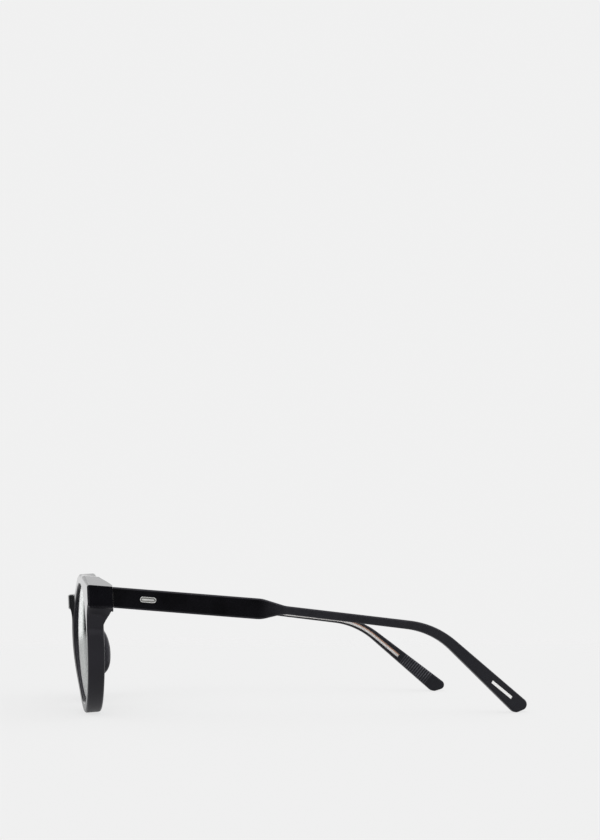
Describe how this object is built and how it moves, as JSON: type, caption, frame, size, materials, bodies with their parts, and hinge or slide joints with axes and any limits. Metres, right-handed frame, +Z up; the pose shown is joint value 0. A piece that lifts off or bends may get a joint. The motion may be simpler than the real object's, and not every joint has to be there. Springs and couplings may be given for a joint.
{
  "type": "eyeglasses",
  "caption": "Round acetate eyeglasses with clear lenses, riveted temple plates, barrel hinges and slim wire-core temples that fold.",
  "frame": {"origin": "on the surface the glasses stand on, under the middle of the open pair", "axes": "+X to the wearer's left, +Y from the front back to the ears, +Z up"},
  "size_m": [0.141, 0.1599, 0.0481],
  "materials": {
    "black_acetate": "polished black acetate",
    "temple_acetate": "black acetate, polished in front and softly worn along the slim part",
    "lens_glass": "clear, with a faint green edge",
    "clear_acetate": "clear acetate strip, polished",
    "core_metal": "rose-gold coloured wire",
    "trim_metal": "bright silver with fine brushing",
    "hinge_metal": "satin nickel-coloured metal",
    "screw_metal": "turned bright metal"
  },
  "bodies": {
    "front": {"front": "black_acetate", "lens_left": "lens_glass", "lens_right": "lens_glass", "nose_pad_left": "black_acetate", "nose_pad_right": "black_acetate", "front_hinge_left": "hinge_metal", "front_hinge_right": "hinge_metal", "hinge_screw_left": "screw_metal", "hinge_screw_right": "screw_metal"},
    "temple_left": {"temple_left": "temple_acetate", "temple_hinge_left": "hinge_metal", "core_wire_left": "core_metal", "inner_strip_left": "clear_acetate", "rivet_plate_left": "trim_metal", "tip_inlay_left": "trim_metal"},
    "temple_right": {"temple_right": "temple_acetate", "temple_hinge_right": "hinge_metal", "core_wire_right": "core_metal", "inner_strip_right": "clear_acetate", "rivet_plate_right": "trim_metal", "tip_inlay_right": "trim_metal"}
  },
  "joints": [
    {"name": "left_temple_fold", "type": "hinge", "parent": "front", "child": "temple_left", "pos_m": [0.065, -0.06337, 0.0395], "axis": [0, -0.0628, 0.998], "range_deg": [0, 86]},
    {"name": "right_temple_fold", "type": "hinge", "parent": "front", "child": "temple_right", "pos_m": [-0.065, -0.06337, 0.0395], "axis": [0, 0.0628, -0.998], "range_deg": [0, 80]}
  ]
}
